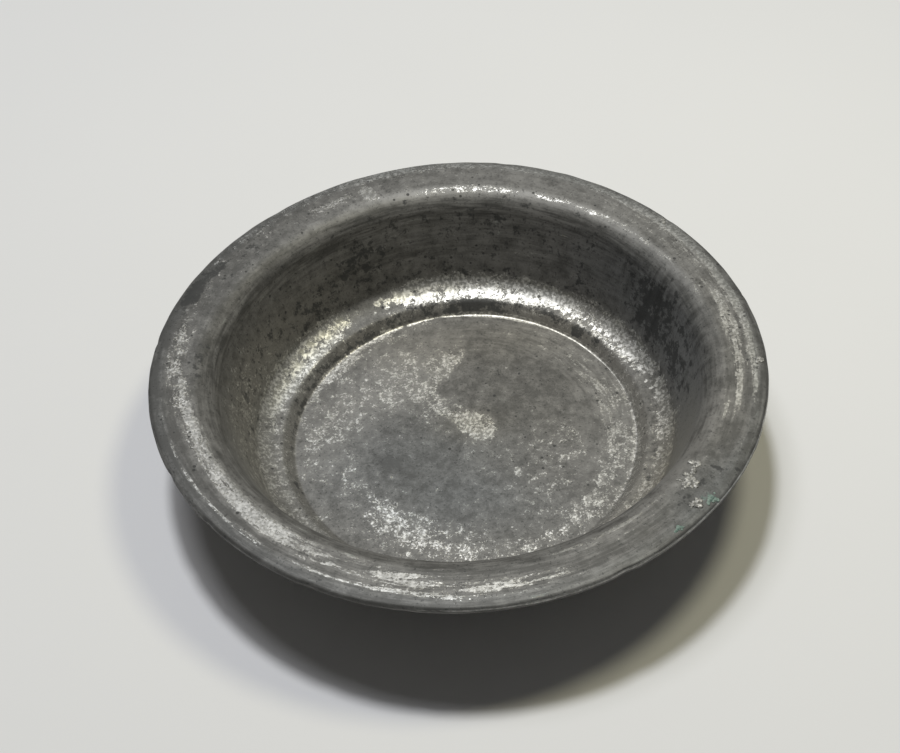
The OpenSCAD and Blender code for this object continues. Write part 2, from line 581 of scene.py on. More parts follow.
def lining_patches() -> tuple[Patch, ...]:
    """Lays out the wear of the inside and the brim, zone by zone, with painted highlights, shade and
    lamp tints among it.

    Returns:
        The patches.
    """
    floor = (
        floor_spots(
            Tone.BRIGHT,
            (1.6, 6, 7, 11, 8, -38, 0.25),
            (1, -7.5, 18, 9, 6, -38, 0.6),
            (0.45, -17, 25.5, 10, 7, -50, 0.7),
            (0.7, -12, 39.5, 17, 4.5, 54, 0.35),
            (0.7, -3, 54, 9, 5, 58, 0.35),
            (0.62, -24, 44, 26, 12, 50, 0.6),
            (0.55, -46, 36, 28, 14, 48, 0.8),
            (0.4, -62, 14, 20, 10, 75, 0.8),
            (0.42, -72, -2, 20, 7, 92, 0.8),
            (0.35, -48, -26, 22, 8, -58, 0.8),
            (-0.45, 24, 30, 30, 25, 10, 0.3),
            (-0.35, -26, -18, 26, 18, 10, 0.6),
            (1.3, 23.5, -24, 1.6, 3.2, 0, 0.3),
            (0.9, 23, 43, 1.4, 1.2, 0, 0.4),
            (0.5, 50, -12, 9, 16, -18, 0.8),
            (0.3, 36, -32, 22, 14, -30, 0.8),
        )
        + floor_spots(
            Tone.PALE,
            (0.42, -34, 40, 32, 17, 50, 0.6),
            (0.2, -64, 0, 30, 16, 90, 0.8),
            (0.05, 4, -4, 30, 14, 30, 0.8),
            (-0.14, -36, -12, 9, 8, 0, 0.5),
        )
        + floor_spots(
            Tone.COOL,
            (0.6, -24, -16, 44, 30, 8, 0.8),
            (0.4, 5, -45, 30, 16, 0, 0.8),
        )
        + floor_spots(
            Tone.WARM,
            (0.3, 28, 28, 46, 40, 0, 0.8),
            (0.4, 0, 66, 60, 16, 0, 0.8),
            (0.4, 4, 8, 16, 10, 0, 0.8),
        )
        + floor_spots(Tone.PITTED, (0.5, 30, 10, 40, 40, 0, 0.8))
    )
    floor_rim = (
        rings(
            Tone.BRIGHT,
            (0.95, -112, 20, 61, 10, 0.7),
            (0.7, -88, 16, 71, 6, 0.7),
            (0.62, -50, 18, 72, 6, 0.7),
            (0.75, -12, 30, 73, 8, 0.7),
            (0.63, 38, 34, 72, 7, 0.8),
            (0.4, -142, 20, 60, 10, 0.8),
            (0.73, 125, 30, 79, 3, 0.6),
        )
        + rings(Tone.RINGED, (0.75, 45, 60, 70, 14, 0.6))
    )
    foot = (
        rings(
            Tone.RUBBED_AND_HIGHLIGHT,
            # Partly painted highlight: these rubbed strips paint the lamps' reflection line along the
            # hollow at the back as bright metal.
            (1.1, 58, 40, 82.9, 1.1, 0.4),
            (0.8, 76, 15, 82.7, 1.7, 0.5),
            (0.8, 122, 18, 82.2, 1.5, 0.6),
        )
        + rings(
            Tone.BRIGHT,
            # Partly painted highlight: this strip carries the hollow's painted reflection line round to
            # the back left.
            (1.3, 142, 24, 81.8, 2, 0.6),
            (0.55, 40, 22, 87.5, 3, 0.6),
            (0.55, -24, 44, 86.5, 4, 0.5),
            (0.5, 205, 50, 86.5, 4, 0.5),
            (0.8, -8, 36, 83, 2.5, 0.6),
            (0.3, 110, 60, 89, 3, 0.6),
        )
        + rings(
            Tone.PALE,
            (0.4, -24, 44, 86.5, 4, 0.5),
            (0.3, 196, 60, 86.5, 4, 0.5),
            (0.3, 45, 40, 86.5, 4, 0.5),
        )
        + rings(Tone.WARM, (0.2, 110, 120, 86, 4, 0.4))
        + rings(
            Tone.STAIN_AND_SHADE,
            (0.5, 84, 9, 86, 4.5, 0.8),
            (0.6, 46, 2, 86.5, 3.5, 0.5),
            (0.38, 110, 100, 87, 3.5, 0.6),
            (0.35, 70, 40, 90, 1.2, 0.6),
            (0.3, 150, 60, 84, 1.6, 0.6),
        )
        + rings(Tone.PITTED, (0.8, 110, 120, 87, 4, 0.6))
    )
    cove = (
        rings(
            Tone.BRIGHT,
            # Partly painted highlight: the next three bands, round the back of the cove where the lamps
            # reflect, paint that reflection as bright worn tin.
            (1.35, 82, 30, 98.6, 8.6, 0.12),
            (1.1, 38, 22, 98.6, 8.6, 0.12),
            (1.25, 148, 24, 98.4, 8.2, 0.14),
            (0.63, 192, 34, 97.5, 8, 0.4),
            (0.8, -20, 26, 99, 6.5, 0.4),
            (0.75, -6, 4, 100, 6, 0.4),
            (-0.3, 118, 6, 99, 7, 0.5),
            (0.73, -100, 60, 97, 9, 0.5),
        )
        + rings(
            Tone.RUBBED_AND_HIGHLIGHT,
            # Partly painted highlight: the next three rubbed bands paint the lamps' reflection round the
            # back of the cove.
            (0.6, 84, 32, 98.4, 7, 0.25),
            (0.54, 32, 14, 98.4, 6.5, 0.3),
            (0.52, 152, 20, 98, 6.5, 0.3),
            (0.46, -14, 18, 100, 5.5, 0.4),
            (0.5, 11, 9, 100, 6, 0.5),
        )
        + rings(Tone.PALE, (-0.22, -14, 34, 98, 8, 0.6))
        + rings(Tone.STAIN_AND_SHADE, (0.2, -14, 34, 96, 8, 0.6))
        + rings(Tone.COOL, (0.3, 155, 30, 98, 9, 0.6))
        + rings(Tone.WARM, (0.3, -22, 30, 95, 12, 0.6))
        + rings(Tone.PITTED, (1.1, 0, 180, 98, 10, 0.4))
    )
    wall = (
        rings(
            Tone.BRIGHT,
            (-0.3, 60, 110, 128, 24, 0.25),
            (0.42, 84, 40, 131, 6, 0.6),
            (0.3, 62, 22, 116, 8, 0.7),
            (0.62, 27, 2.4, 120, 5, 0.5),
            (0.55, -5, 10, 108, 6, 0.6),
            (0.6, 186, 28, 116, 16, 0.7),
            (0.28, -100, 80, 122, 18, 0.5),
            (0.25, 174, 26, 118, 14, 0.7),
        )
        + rings(
            Tone.RINGED,
            (0.8, 84, 62, 128, 16, 0.4),
            (0.8, -95, 70, 126, 18, 0.5),
        )
        + rings(
            Tone.STAIN_AND_SHADE,
            (0.24, 84, 46, 124, 14, 0.8),
            (0.46, 28, 6, 122, 15, 0.8),
            (0.34, 10, 20, 128, 20, 0.6),
            (0.5, 116, 7, 120, 9, 0.8),
            (0.35, 132, 8, 112, 7, 0.8),
            (0.4, 52, 4, 112, 7, 0.8),
            # Painted shade: the next band darkens the top of the far wall.
            (0.2, 80, 70, 138, 9, 0.6),
            (0.34, 88, 44, 107, 3, 0.6),
            (0.38, 168, 32, 116, 13, 0.7),
            (0.3, 12, 15, 116, 12, 0.7),
        )
        + rings(
            Tone.PALE,
            (0.24, 60, 110, 122, 22, 0.5),
            (0.25, 0, 20, 118, 20, 0.7),
            (0.9, -34, 22, 120, 26, 0.6),
            # Painted light: the next two pale bands lighten the left wall where the warm lamp lights it.
            (0.4, 166, 30, 113, 10, 0.7),
            (0.3, 205, 24, 122, 20, 0.7),
        )
        + rings(
            Tone.WARM,
            # Painted light: the next warm tint paints the warm lamp's colour on the left wall.
            (0.35, 165, 50, 114, 16, 0.6),
            (0.5, -25, 22, 118, 20, 0.6),
        )
        # Painted light: this cool tint paints the cool lamps' colour on the right wall.
        + rings(Tone.COOL, (0.7, 15, 34, 126, 20, 0.6))
        + rings(
            Tone.DRIPPED,
            (0.9, 14, 26, 124, 22, 0.6),
            (0.7, 172, 34, 118, 14, 0.6),
        )
        + rings(Tone.PITTED, (0.8, 150, 60, 118, 14, 0.5))
    )
    brim = (
        rings(
            Tone.RINGED,
            (1, 0, 180, 158, 22, 0.2),
            (-0.8, -39, 10, 160, 12, 0.7),
            (-0.62, 125, 78, 160, 12, 0.5),
            (-0.3, 15, 40, 160, 14, 0.6),
        )
        + rings(
            Tone.BRIGHT,
            (0.36, 124, 44, 160, 10, 0.6),
            (0.34, 168, 24, 161, 7, 0.7),
            (1.02, 104, 44, 169, 3, 0.6),
            (0.66, 22, 30, 162, 7, 0.7),
            (1.15, 44, 30, 168.6, 2.8, 0.6),
            (-0.22, 0, 180, 158, 16, 0.4),
            (-0.12, 115, 60, 158, 12, 0.5),
            # Painted highlight: the next two bands paint the lamps' reflection along the roll at the
            # back.
            (1.15, 82, 24, 150.6, 2.6, 0.6),
            (0.8, 40, 26, 151.5, 2.2, 0.7),
            (1.3, 108, 1.8, 157, 5, 0.6),
            (0.7, 117, 7, 158.5, 3, 0.6),
            (0.75, 107, 18, 170.6, 0.9, 0.5),
            (0.5, 92, 14, 168.5, 1.6, 0.7),
            (1.2, 208, 24, 155.5, 4.6, 0.4),
            (1.05, 238, 26, 157.5, 5.2, 0.4),
            (1.4, 226, 34, 166.3, 0.9, 0.5, -0.02),
            (1.2, 269, 18, 163.5, 5.5, 0.5),
            (0.4, 300, 14, 155, 5, 0.8),
            (0.75, 178, 14, 160.5, 5.5, 0.6),
            (1.45, 10, 32, 166.6, 2, 0.5),
            (0.85, 0, 18, 159.5, 3.2, 0.7),
            (1.35, -21, 4, 155.8, 1.7, 0.4),
            (1.2, -14, 5, 159.5, 1.3, 0.5),
            (1.1, -60, 13, 152.5, 1, 0.6),
            (-0.35, 0, 180, 170.5, 2.6, 0.6),
            (0.26, 78, 60, 161, 10, 0.7),
        )
        + rings(Tone.PITTED, (0.4, 100, 100, 160, 12, 0.6))
        + rings(
            Tone.COOL,
            (0.5, -41, 9, 164, 9, 0.8),
            (0.3, 0, 180, 170, 4, 0.6),
        )
        + rings(
            Tone.PALE,
            (-0.3, 150, 62, 162, 10, 0.6),
            (0.26, 80, 60, 157, 10, 0.6),
            # Painted highlight: the next band lightens the roll at the back where the lamps reflect.
            (0.2, 70, 50, 149, 4, 0.7),
            (0.22, -65, 50, 150, 5, 0.7),
            (-0.26, 8, 40, 161, 9, 0.8),
            (-0.12, 200, 70, 168, 5, 0.7),
            (-0.24, -82, 40, 158, 7, 0.6),
        )
        + rings(
            Tone.STAIN_AND_SHADE,
            (1.05, 157, 5.5, 166.5, 4, 0.8),
            (0.7, 148.5, 3, 164.5, 3, 0.8),
            (0.5, 140, 4, 160, 4, 0.8),
            (0.5, 175, 7, 150.5, 3.5, 0.8),
            (0.35, 215, 4, 163, 3, 0.8),
            (0.55, -7, 2, 168.5, 3, 0.8),
            (0.3, 200, 60, 172.8, 1.2, 0.6),
            # Painted shade: the next band darkens the top of the far wall, below the roll.
            (0.14, 90, 60, 146, 3, 0.7),
            (0.42, -39, 4, 159.5, 5, 0.8),
            (0.85, -35.2, 0.35, 162.5, 3.5, 0.8, 0.5),
            (0.7, -34.6, 0.5, 166.5, 1.6, 0.8),
            (0.75, -33.8, 0.6, 170.5, 1.6, 0.8),
            (0.55, -44.5, 2.4, 161, 1.6, 0.8),
        )
        + rings(
            Tone.BLISTER,
            (1, -39, 6, 156, 6, 0.6),
            (0.5, -31, 4, 163, 4, 0.6),
        )
        + rings(
            Tone.RUBBED_AND_HIGHLIGHT,
            # Partly painted highlight: these rubbed strips paint the catch light along the front of the
            # lip as bright metal.
            (0.9, -66, 30, 172.6, 0.5, 0.5),
            (0.8, -12, 26, 172.9, 0.4, 0.5),
        )
        + rings(
            Tone.GREEN,
            (0.5, -42, 2.2, 169, 4, 0.8),
            (0.4, -50.8, 2, 168.5, 3.5, 0.8),
        )
        + rings(Tone.WARM, (0.18, -20, 30, 156, 10, 0.8))
    )
    return floor + floor_rim + foot + cove + wall + brim


def outer_patches() -> tuple[Patch, ...]:
    """Lays out the wear of the outside, where the foot and edge are rubbed most.

    Returns:
        The patches.
    """
    return (
        rings(
            Tone.STAIN_AND_SHADE,
            (0.5, 40, 40, 118, 20, 0.7),
            (0.4, 200, 50, 110, 16, 0.7),
        )
        + rings(
            Tone.BRIGHT,
            (0.53, 120, 60, 128, 14, 0.7),
            (0.63, 300, 50, 104, 12, 0.7),
            (0.63, 0, 180, 172.5, 1.6, 0.5),
        )
        + rings(Tone.RINGED, (0.9, 0, 180, 135, 50, 0.2))
        + rings(Tone.WARM, (0.4, 80, 90, 100, 20, 0.7))
        + rings(
            Tone.GREEN,
            (0.4, -42, 6, 168, 8, 0.8),
            (0.35, 150, 10, 150, 8, 0.8),
        )
        + rings(
            Tone.SHADE,
            (1, 0, 180, 86, 2.6, 0.6),
            (0.5, 25, 30, 90, 5, 0.7),
            (0.45, 240, 24, 92, 6, 0.7),
        )
        + rings(Tone.PITTED, (0.5, 0, 180, 120, 50, 0.4))
    )


def underside_patches() -> tuple[Patch, ...]:
    """Lays out the wear of the bare copper underneath.

    Returns:
        The patches.
    """
    return (
        rings(Tone.BRIGHT, (0.7, 0, 180, 82, 4, 0.7))
        + floor_spots(Tone.BRIGHT, (0.35, -30, 20, 30, 18, 30, 0.9))
        + rings(Tone.GREEN, (0.5, 70, 30, 80, 6, 0.8))
        + floor_spots(Tone.GREEN, (0.3, 20, -35, 16, 10, 60, 0.9))
    )


# ---------------------------------------------------------------- shader helper


Socket = bpy.types.NodeSocket
Input = Socket | float | Colour


@dataclass(frozen=True)
class Layer:
    """A noise: its scale, how many finer layers it has, how strong they are and its bend."""

    scale: float
    detail: float
    rough: float
    warp: float = 0.0


@dataclass(frozen=True)
class Turning:
    """A noise drawn out round the bowl: bumps per radian round it and per metre across it."""

    around: float
    across: float
    detail: float
    rough: float
    warp: float = 0.0


@dataclass(frozen=True)
class Ramp:
    """A smooth rise from nothing at its low end to its most at its high end."""

    low: float
    high: float
    most: float = 1.0


class Graph:
    """A material's node tree, built by small typed steps."""

    def __init__(self, name: str) -> None:
        """Starts an empty material.

        Args:
            name: The material's name.
        """
        self.material = bpy.data.materials.new(name)
        self.material.use_nodes = True
        self.tree = self.material.node_tree
        self.tree.nodes.clear()
        output = self.tree.nodes.new("ShaderNodeOutputMaterial")
        self.shader = self.tree.nodes.new("ShaderNodeBsdfPrincipled")
        self.tree.links.new(self.shader.outputs["BSDF"], output.inputs["Surface"])

    def feed(self, socket: Socket, value: Input) -> None:
        """Links a socket to another, or sets it.

        Args:
            socket: The input to feed.
            value: Another node's output, or a number, a vector or a colour.
        """
        if isinstance(value, bpy.types.NodeSocket):
            self.tree.links.new(value, socket)
        elif socket.type == "RGBA":
            socket.default_value = (*value, 1.0)
        else:
            socket.default_value = value

    def node(self, kind: str, inputs: dict[str | int, Input], **settings: str) -> bpy.types.Node:
        """Adds a node and feeds it.

        Args:
            kind: The end of Blender's name of the node.
            inputs: What goes into each input, by name or number.
            settings: The node's own settings.

        Returns:
            The node.
        """
        node = self.tree.nodes.new("ShaderNode" + kind)
        for name, setting in settings.items():
            setattr(node, name, setting)
        for key, value in inputs.items():
            self.feed(node.inputs[key], value)
        return node

    def dress(self, name: str, value: Input) -> None:
        """Feeds one of the shader's inputs."""
        self.feed(self.shader.inputs[name], value)

    def place(self) -> Socket:
        """Returns the point's place in the bowl's own frame, in metres."""
        return self.node("TexCoord", {}).outputs["Object"]

    def attribute(self, name: str) -> Socket:
        """Returns a number stored on the mesh."""
        return self.node("Attribute", {}, attribute_name=name).outputs["Fac"]

    def math(self, kind: str, a: Input, b: Input = 0.0, c: Input = 0.0) -> Socket:
        """Returns the result of one sum, named as Blender names it."""
        return self.node("Math", {0: a, 1: b, 2: c}, operation=kind).outputs[0]

    def vector(self, kind: str, a: Socket, b: Input = (0.0, 0.0, 0.0)) -> Socket:
        """Returns the result of one vector sum, named as Blender names it."""
        return self.node("VectorMath", {0: a, 1: b}, operation=kind).outputs[0]

    def around_zero(self, value: Socket, gain: float) -> Socket:
        """Returns a noise moved to lie about zero and made stronger by a gain."""
        return self.math("MULTIPLY_ADD", value, gain, -0.5 * gain)

    def blend(self, share: Input, a: Input, b: Input) -> Socket:
        """Returns a mix of two numbers, with the second one's share."""
        return self.node("Mix", {0: share, 2: a, 3: b}, data_type="FLOAT").outputs[0]

    def tint(self, share: Input, a: Input, b: Input) -> Socket:
        """Returns a mix of two colours, with the second one's share."""
        return self.node("Mix", {0: share, 6: a, 7: b}, data_type="RGBA").outputs[2]

    def glaze(self, share: Input, a: Socket, film: Colour) -> Socket:
        """Returns a colour under a see-through film, with the film's thickness from 0 to 1."""
        settings = {"data_type": "RGBA", "blend_type": "MULTIPLY"}
        return self.node("Mix", {0: share, 6: a, 7: film}, **settings).outputs[2]

    def rise(self, value: Input, ramp: Ramp) -> Socket:
        """Returns where a value stands on a ramp."""
        inputs = {"Value": value, "From Min": ramp.low, "From Max": ramp.high, "To Max": ramp.most}
        return self.node("MapRange", inputs, interpolation_type="SMOOTHSTEP").outputs["Result"]

    def noise(self, where: Socket, layer: Layer) -> Socket:
        """Lays noise over the surface.

        Args:
            where: The coordinates.
            layer: The noise's scale and character.

        Returns:
            The noise, about 0.5 on average.
        """
        inputs = {"Vector": where, "Scale": layer.scale, "Detail": layer.detail}
        inputs |= {"Roughness": layer.rough, "Distortion": layer.warp}
        return self.node("TexNoise", inputs).outputs["Fac"]

    def turned_noise(self, place: Socket, run: Socket, turning: Turning) -> Socket:
        """Lays noise that is drawn out round the bowl, without a seam.

        Args:
            place: The point's place.
            run: The run along the face, in metres.
            turning: How the noise is drawn out.

        Returns:
            The noise, about 0.5 on average.
        """
        ring = self.vector("NORMALIZE", self.vector("MULTIPLY", place, (1.0, 1.0, 0.0)))
        ring = self.vector("MULTIPLY", ring, (turning.around, turning.around, 0.0))
        across = self.node("CombineXYZ", {"Z": self.math("MULTIPLY", run, turning.across)})
        where = self.vector("ADD", ring, across.outputs[0])
        return self.noise(where, Layer(1.0, turning.detail, turning.rough, turning.warp))

    def dots(self, where: Socket, scale: float) -> tuple[Socket, Socket]:
        """Scatters cells over the surface.

        Args:
            where: The coordinates.
            scale: Cells per unit of the coordinates.

        Returns:
            The distance from each cell's middle, and a number of its own for each cell.
        """
        cells = self.node("TexVoronoi", {"Vector": where, "Scale": scale})
        split = self.node("SeparateColor", {"Color": cells.outputs["Color"]})
        return cells.outputs["Distance"], split.outputs["Red"]

    def bump(self, height: Socket, distance: float, strength: float) -> None:
        """Gives the shader a fine relief.

        Args:
            height: The relief, from 0 to 1.
            distance: How deep a height of 1 is, in metres.
            strength: How strongly the relief shows.
        """
        relief = self.node("Bump", {"Distance": distance, "Strength": strength, "Height": height})
        self.dress("Normal", relief.outputs["Normal"])


# ---------------------------------------------------------------- finishes


@dataclass(frozen=True)
class OldTin:
    """Wiped tin gone dull: grey oxide, bright flecks, rings of scratches, stains and pits, and painted
    highlights, shade and lamp tints.
    """

    name: str = "old_tin"
    dark: Colour = (0.086, 0.084, 0.078)
    light: Colour = (0.238, 0.233, 0.220)
    warm: Colour = (1.0, 0.945, 0.820)
    cool: Colour = (0.880, 0.935, 1.0)
    bright: Colour = (0.690, 0.682, 0.650)
    half_bright: Colour = (0.310, 0.306, 0.286)
    brushed_bright: Colour = (0.455, 0.449, 0.423)
    # Dark of stains, specks and pits, and of the painted shade at the top of the far wall.
    stain_and_shade: Colour = (0.028, 0.029, 0.028)
    green: Colour = (0.150, 0.225, 0.195)
    copper: Colour = (0.270, 0.130, 0.075)
    dull_rough: float = 0.58
    bright_rough: float = 0.43
    covered_rough: float = 0.72
    uneven_rough: float = 0.18
    dull_metal: float = 0.35
    bright_metal: float = 0.75
    covered_metal: float = 0.15

    patch_noise: Layer = Layer(250.0, 5.0, 0.62, 0.3)
    patch_sweeps: Turning = Turning(7.0, 420.0, 5.0, 0.62)
    patch_gain: float = 5.0
    grain_noise: Layer = Layer(1100.0, 4.0, 0.8)
    grain_strokes: Turning = Turning(60.0, 1100.0, 4.0, 0.85)
    stroke_share: float = 0.65
    grain_gain: float = 5.2
    cloud_noise: Layer = Layer(38.0, 4.0, 0.55)
    full_cover: float = 0.4
    fleck_ramp: Ramp = Ramp(0.06, 0.17)
    worn_gain: float = 2.4
    rubbed_and_highlight_ramp: Ramp = Ramp(0.42, 0.60)
    bare_ramp: Ramp = Ramp(0.5, 0.64)
    speck_noise: Layer = Layer(850.0, 2.0, 0.6)
    speck_ramp: Ramp = Ramp(0.61, 0.68, 0.6)
    gleam_noise: Layer = Layer(620.0, 2.0, 0.5)
    gleam_ramp: Ramp = Ramp(0.4, 0.62)

    oxide_noise: Layer = Layer(150.0, 7.0, 0.68)
    oxide_rings: Turning = Turning(4.0, 560.0, 6.0, 0.66)
    oxide_drips: Turning = Turning(30.0, 42.0, 6.0, 0.62, 0.4)
    ring_share: float = 0.55
    oxide_gain: float = 1.4
    ringed_oxide_gain: float = 4.2
    oxide_grain: float = 1.3
    oxide_ground: float = 0.35
    oxide_ramp: Ramp = Ramp(-0.95, 0.5)

    salt_gain: float = 3.0
    salt_ramp: Ramp = Ramp(0.45, 0.85)
    salt_cover: float = 0.5
    soil_noise: Layer = Layer(210.0, 6.0, 0.7)
    soil_grain: float = 0.35
    soil_gain: float = 3.0
    soil_ramp: Ramp = Ramp(0.44, 0.72, 0.8)

    pit_cells: float = 300.0
    pit_cover: float = 0.8
    pit_least: float = 0.02
    pit_growth: float = 0.55
    pit_lots: float = 0.55
    pit_rim: Ramp = Ramp(0.7, 1.1)
    pit_call: Ramp = Ramp(0.95, 1.1)

    fleck_relief: float = 0.25
    grain_relief: float = 0.6
    patch_relief: float = 0.6
    pit_relief: float = -0.8
    relief_depth: float = 0.00012
    relief_strength: float = 0.65

    def material(self) -> bpy.types.Material:
        """Builds the finish.

        Returns:
            The material.
        """
        g = Graph(self.name)
        place = g.place()
        run = g.attribute("run")
        ringed = g.attribute("ringed")
        sweeps = g.turned_noise(place, run, self.patch_sweeps)
        patch = g.blend(ringed, g.noise(place, self.patch_noise), sweeps)
        strokes = g.turned_noise(place, run, self.grain_strokes)
        streaky = g.math("MULTIPLY", ringed, self.stroke_share)
        grain = g.blend(streaky, g.noise(place, self.grain_noise), strokes)
        cloud = g.noise(place, self.cloud_noise)
        # The bright map is worn tin, and in the cove, on the roll and in the foot hollow also painted
        # highlight.
        ground = g.math("ADD", g.attribute("bright"), g.around_zero(patch, self.patch_gain))
        ground = g.math("ADD", ground, g.around_zero(cloud, 1.0))

        fleck = self.flecks(g, ground, patch, grain)
        colour = self.oxide(g, place, run, ground, grain)
        specks = g.rise(g.noise(place, self.speck_noise), self.speck_ramp)
        colour = g.tint(specks, colour, self.stain_and_shade)
        full = g.tint(ringed, self.bright, self.brushed_bright)
        gleam = g.rise(g.noise(place, self.gleam_noise), self.gleam_ramp)
        colour = g.tint(fleck, colour, g.tint(gleam, self.half_bright, full))
        # The warm and cool glazes are tints of the tin, and on the left and right walls painted lamp
        # light.
        colour = g.glaze(g.attribute("warm"), colour, self.warm)
        colour = g.glaze(g.attribute("cool"), colour, self.cool)

        worn = g.math("ADD", g.attribute("shade"), g.around_zero(patch, self.worn_gain))
        colour = g.tint(g.rise(worn, self.bare_ramp), colour, self.copper)
        salts = g.math("ADD", g.attribute("green"), g.around_zero(patch, self.salt_gain))
        salts = g.rise(salts, self.salt_ramp)
        colour = g.tint(g.math("MULTIPLY", salts, self.salt_cover), colour, self.green)
        soil = g.math("ADD", g.noise(place, self.soil_noise), g.around_zero(grain, self.soil_grain))
        # The stain map is real dirt, and at the top of the far wall painted shade.
        black = g.math("ADD", g.attribute("stain_and_shade"), g.around_zero(soil, self.soil_gain))
        black = g.rise(black, self.soil_ramp)
        colour = g.tint(black, colour, self.stain_and_shade)
        pit = self.pits(g, place)
        colour = g.tint(g.math("MULTIPLY", pit, self.pit_cover), colour, self.stain_and_shade)
        g.dress("Base Color", colour)

        covered = g.math("MAXIMUM", black, g.math("MAXIMUM", salts, pit))
        rough = g.blend(covered, g.blend(fleck, self.dull_rough, self.bright_rough), self.covered_rough)
        g.dress("Roughness", g.math("ADD", rough, g.around_zero(cloud, self.uneven_rough)))
        metal = g.blend(covered, g.blend(fleck, self.dull_metal, self.bright_metal), self.covered_metal)
        g.dress("Metallic", metal)
        relief = g.math("MULTIPLY", grain, self.grain_relief)
        relief = g.math("MULTIPLY_ADD", fleck, self.fleck_relief, relief)
        relief = g.math("MULTIPLY_ADD", patch, self.patch_relief, relief)
        relief = g.math("MULTIPLY_ADD", pit, self.pit_relief, relief)
        g.bump(relief, self.relief_depth, self.relief_strength)
        return g.material

    def flecks(self, g: Graph, ground: Socket, patch: Socket, grain: Socket) -> Socket:
        """Finds where bright metal shows, in flecks or rubbed clean, and where highlights are painted as
        bright metal.

        Args:
            g: The material's graph.
            ground: How worn the tin is there, with painted highlights added.
            patch: The coarse noise.
            grain: The finest noise.

        Returns:
            1 on bright metal and 0 on dull tin.
        """
        cover = g.math("MINIMUM", ground, self.full_cover)
        fleck = g.rise(g.math("ADD", cover, g.around_zero(grain, self.grain_gain)), self.fleck_ramp)
        # The rubbed map is worn bright tin, and in the foot hollow, round the back of the cove and on
        # the lip also painted highlight.
        rubbed = g.math("ADD", g.attribute("rubbed"), g.around_zero(patch, self.worn_gain))
        return g.math("MAXIMUM", fleck, g.rise(rubbed, self.rubbed_and_highlight_ramp))

    def oxide(self, g: Graph, place: Socket, run: Socket, ground: Socket, grain: Socket) -> Socket:
        """Mottles the dull grey between the flecks.

        Args:
            g: The material's graph.
            place: The point's place.
            run: The run along the face.
            ground: How worn the tin is there, with painted highlights added.
            grain: The finest noise.

        Returns:
            The colour.
        """
        ringed = g.attribute("ringed")
        rings_of_grey = g.turned_noise(place, run, self.oxide_rings)
        drips = g.turned_noise(place, run, self.oxide_drips)
        turned = g.math("MULTIPLY", ringed, self.ring_share)
        mottle = g.blend(turned, g.noise(place, self.oxide_noise), rings_of_grey)
        mottle = g.blend(g.attribute("dripped"), mottle, drips)
        uneven = g.blend(ringed, self.oxide_gain, self.ringed_oxide_gain)
        grainy = g.around_zero(grain, self.oxide_grain)
        tone = g.math("MULTIPLY_ADD", g.around_zero(mottle, 1.0), uneven, grainy)
        # The pale map lightens the oxide, and on the roll and the left wall it is painted light.
        lift = g.math("MULTIPLY_ADD", ground, self.oxide_ground, g.attribute("pale"))
        return g.tint(g.rise(g.math("ADD", tone, lift), self.oxide_ramp), self.dark, self.light)

    def pits(self, g: Graph, place: Socket) -> Socket:
        """Scatters small round pits where the wear map calls for them.

        Args:
            g: The material's graph.
            place: The point's place.

        Returns:
            1 in a pit and 0 outside.
        """
        near, lot = g.dots(place, self.pit_cells)
        chosen = g.math("MAXIMUM", g.math("SUBTRACT", lot, self.pit_lots), 0.0)
        size = g.math("MULTIPLY_ADD", chosen, self.pit_growth, self.pit_least)
        inside = g.math("SUBTRACT", 1.0, g.rise(g.math("DIVIDE", near, size), self.pit_rim))
        called = g.rise(g.math("ADD", g.attribute("pitted"), lot), self.pit_call)
        return g.math("MULTIPLY", inside, called)


